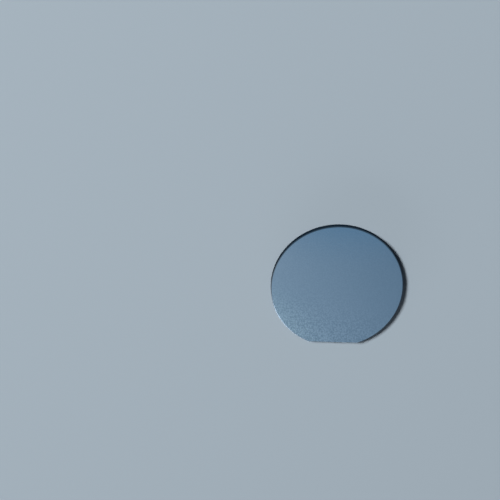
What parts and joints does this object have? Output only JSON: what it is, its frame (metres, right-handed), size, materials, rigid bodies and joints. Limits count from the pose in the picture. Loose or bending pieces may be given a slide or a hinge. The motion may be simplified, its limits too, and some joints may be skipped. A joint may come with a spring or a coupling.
{
  "type": "silicon wafer",
  "caption": "Thick round silicon wafer with a polished face, a lapped back, one orientation flat and a ground bevelled edge.",
  "frame": {"origin": "where the disc's axis meets the back face", "axes": "+Z along the disc's axis, out of the polished face; -Y out of the orientation flat; +X along the flat"},
  "size_m": [0.1, 0.0964, 0.005],
  "materials": {
    "silicon": "polished"
  },
  "bodies": {
    "root": {"wafer": "silicon"}
  },
  "joints": []
}
